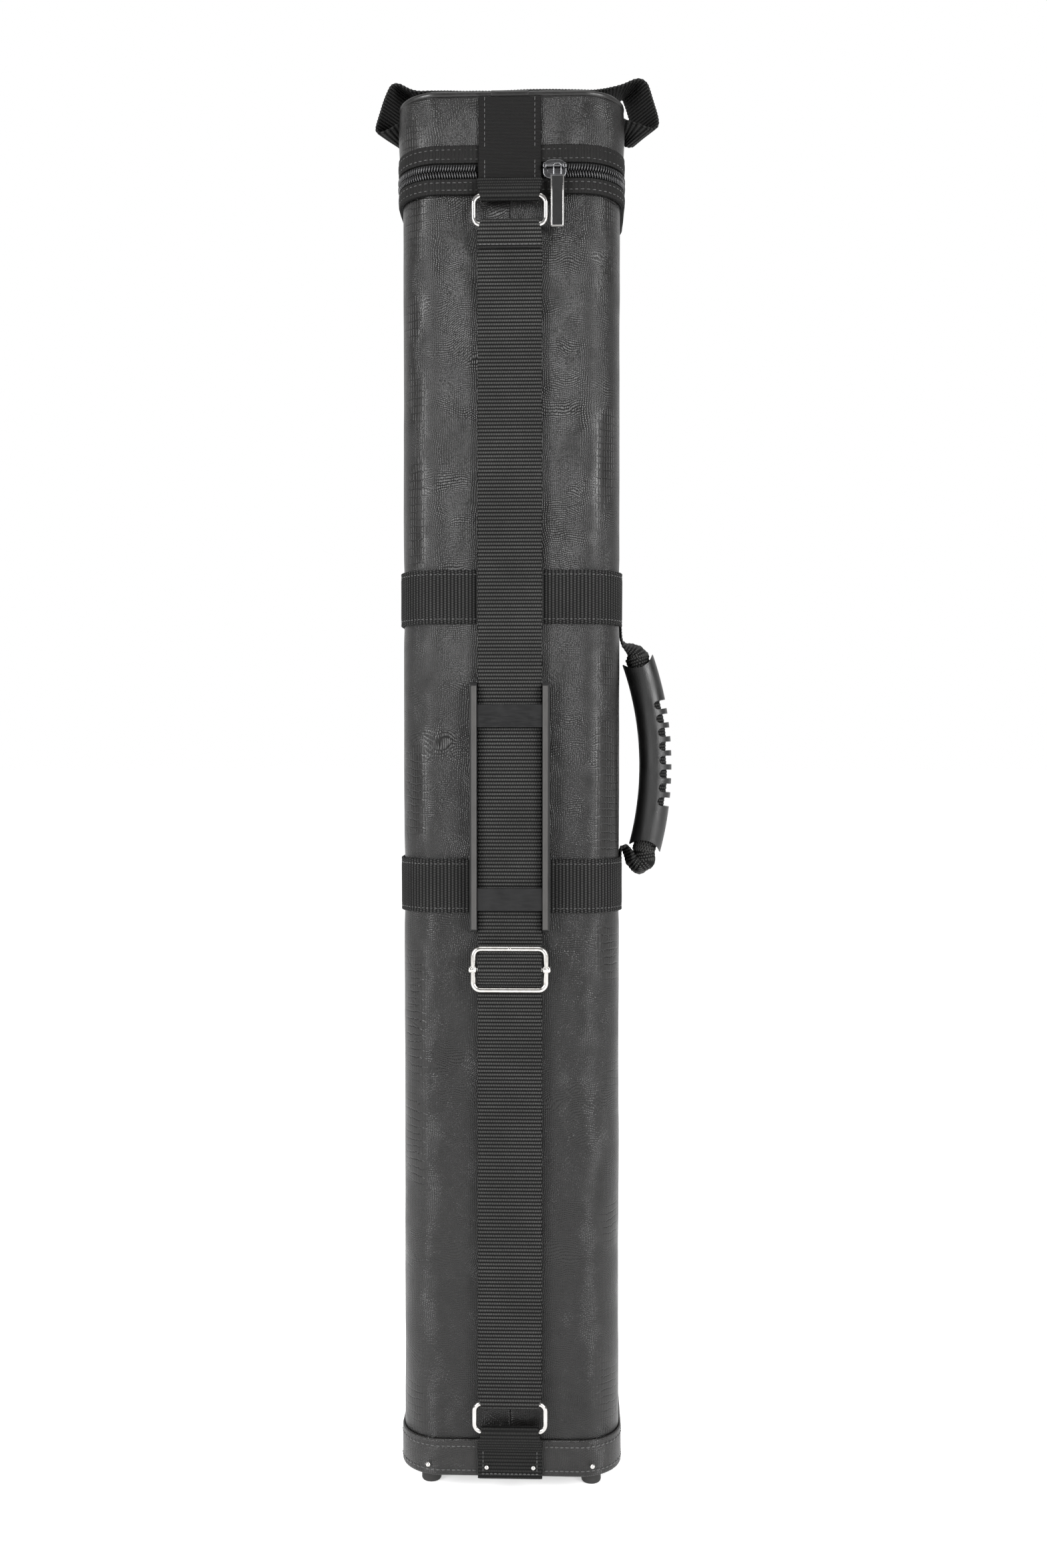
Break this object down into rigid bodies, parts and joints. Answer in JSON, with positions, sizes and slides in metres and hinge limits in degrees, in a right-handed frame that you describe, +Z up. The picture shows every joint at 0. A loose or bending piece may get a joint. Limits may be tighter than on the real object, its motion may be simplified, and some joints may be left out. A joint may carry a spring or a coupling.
{
  "type": "cue case",
  "caption": "Upright hard cue case with a zipped hinged lid, webbing top handle, moulded side carry grip, and a shoulder strap with pad and slide buckle on its front.",
  "frame": {"origin": "on the floor under the middle of the case's outline, between the feet", "axes": "+Z up along the case, -Y out of the face with the shoulder strap, +X to the side with the carry grip"},
  "size_m": [0.1764, 0.1056, 0.8578],
  "materials": {
    "board": "raw fibreboard, cut edges",
    "leatherette": "black embossed lizard grain, satin",
    "vinyl": "smooth black vinyl piping",
    "felt": "short-pile felt lining",
    "foam": "closed-cell foam under felt",
    "tube_plastic": "extruded black tube",
    "trim_plastic": "moulded trim plate",
    "rubber": "matt moulded rubber",
    "steel": "plated steel",
    "webbing": "heavy ribbed webbing, black",
    "grosgrain": "ribbed grosgrain tape, black",
    "zip_tape": "woven zipper tape, black",
    "zip_coil": "nylon coil, black",
    "zip_metal": "black nickel",
    "chrome": "bright plated wire",
    "black_enamel": "black enamel, plain",
    "nickel": "nickel plated wire",
    "pad_plastic": "smooth dark grey moulded pad",
    "rail_plastic": "warm grey moulded rail",
    "grip_plastic": "satin moulded grip, finely textured"
  },
  "bodies": {
    "case_body": {"body_shell": "board", "body_wrap": "leatherette", "body_lining": "felt", "base_block": "board", "base_pad": "foam", "tube_plate": "trim_plastic", "butt_tube_1": "tube_plastic", "butt_tube_2": "tube_plastic", "butt_tube_3": "tube_plastic", "butt_tube_4": "tube_plastic", "shaft_tubes_left": "tube_plastic", "shaft_tubes_right": "tube_plastic", "bottom_cap": "leatherette", "feet": "rubber", "foot_screws": "steel", "cap_tacks": "steel", "bottom_patch": "webbing", "band_lower": "webbing", "band_upper": "webbing", "webbing_tab_lower": "webbing", "webbing_tab_upper": "webbing", "zip_tape_lower": "zip_tape", "zip_coil_lower": "zip_coil", "binding_lower": "grosgrain", "hinge_tape_lower": "grosgrain", "ring_loop": "grosgrain", "strap_back": "webbing", "strap_front": "webbing"},
    "lid": {"lid_wall": "board", "lid_wrap": "leatherette", "lid_board": "board", "lid_pad": "foam", "lid_lining": "felt", "lid_top": "leatherette", "piping": "vinyl", "piping_sleeve": "vinyl", "top_handle": "webbing", "zip_tape_upper": "zip_tape", "zip_coil_upper": "zip_coil", "binding_upper": "grosgrain", "hinge_tape_upper": "grosgrain"},
    "slider": {"zip_slider": "zip_metal"},
    "pull": {"pull_frame": "chrome", "pull_insert": "black_enamel"},
    "upper_ring": {"top_ring": "chrome", "strap_eye_upper": "webbing"},
    "lower_ring": {"bottom_ring": "chrome", "strap_eye_lower": "webbing"},
    "shoulder_pad": {"pad_base": "pad_plastic", "pad_rails": "rail_plastic", "pad_plate_lower": "pad_plastic", "pad_plate_upper": "pad_plastic"},
    "slide_buckle": {"buckle_frame": "nickel", "buckle_bar": "nickel", "strap_hump": "webbing"},
    "carry_grip": {"grip_inner": "grip_plastic", "grip_outer": "grip_plastic", "grip_webbing": "webbing"}
  },
  "joints": [
    {"name": "lid_hinge", "type": "hinge", "parent": "case_body", "child": "lid", "pos_m": [0, -0.0492, 0.8], "axis": [1, 0, 0], "range_deg": [0, 120]},
    {"name": "zip_slide", "type": "slide", "parent": "case_body", "child": "slider", "axis": [1, 0, 0], "range_m": [0, 0.008]},
    {"name": "pull_swing", "type": "hinge", "parent": "slider", "child": "pull", "pos_m": [0.0281, -0.052, 0.7917], "axis": [1, 0, 0], "range_deg": [-150, 0]},
    {"name": "upper_ring_swing", "type": "hinge", "parent": "case_body", "child": "upper_ring", "pos_m": [0, -0.051, 0.7747], "axis": [1, 0, 0], "range_deg": [-15, 0]},
    {"name": "lower_ring_swing", "type": "hinge", "parent": "case_body", "child": "lower_ring", "pos_m": [0, -0.051, 0.0398], "axis": [1, 0, 0], "range_deg": [0, 12]},
    {"name": "pad_slide", "type": "slide", "parent": "case_body", "child": "shoulder_pad", "axis": [0, 0, 1], "range_m": [-0.005, 0.24]},
    {"name": "buckle_slide", "type": "slide", "parent": "case_body", "child": "slide_buckle", "axis": [0, 0, 1], "range_m": [-0.22, 0]},
    {"name": "grip_swing", "type": "hinge", "parent": "case_body", "child": "carry_grip", "pos_m": [0.0676, 0, 0.4464], "axis": [0, 0, 1], "range_deg": [-28, 28]}
  ]
}
